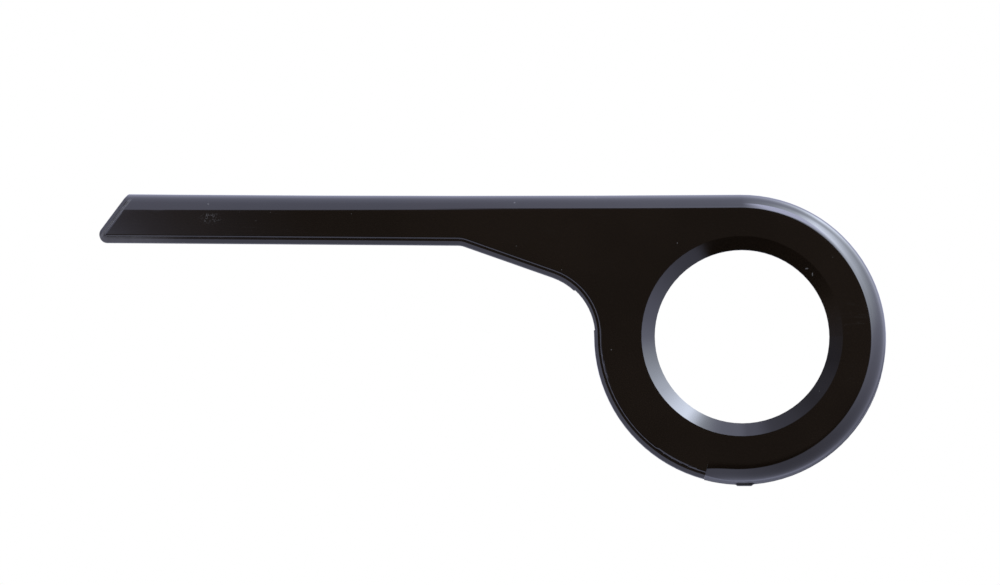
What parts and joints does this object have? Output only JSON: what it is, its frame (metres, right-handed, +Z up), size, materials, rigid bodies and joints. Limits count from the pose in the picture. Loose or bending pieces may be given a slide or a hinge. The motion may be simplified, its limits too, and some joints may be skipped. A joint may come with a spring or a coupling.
{
  "type": "bicycle chain guard",
  "caption": "Moulded chain guard: a long arm over the chain runs into a ring round the chainring, with a wide rounded rim, a stepped lip and a round crank opening.",
  "frame": {"origin": "on the crank axis, in the plane of the back edge where the fixing bracket sits", "axes": "+X forward on the bicycle, +Y inboard along the crank axis, +Z up; the front face looks to -Y"},
  "size_m": [0.5167, 0.03, 0.1913],
  "materials": {
    "gloss_black_plastic": "gloss moulded black plastic"
  },
  "bodies": {
    "root": {"chain_guard": "gloss_black_plastic"}
  },
  "joints": []
}
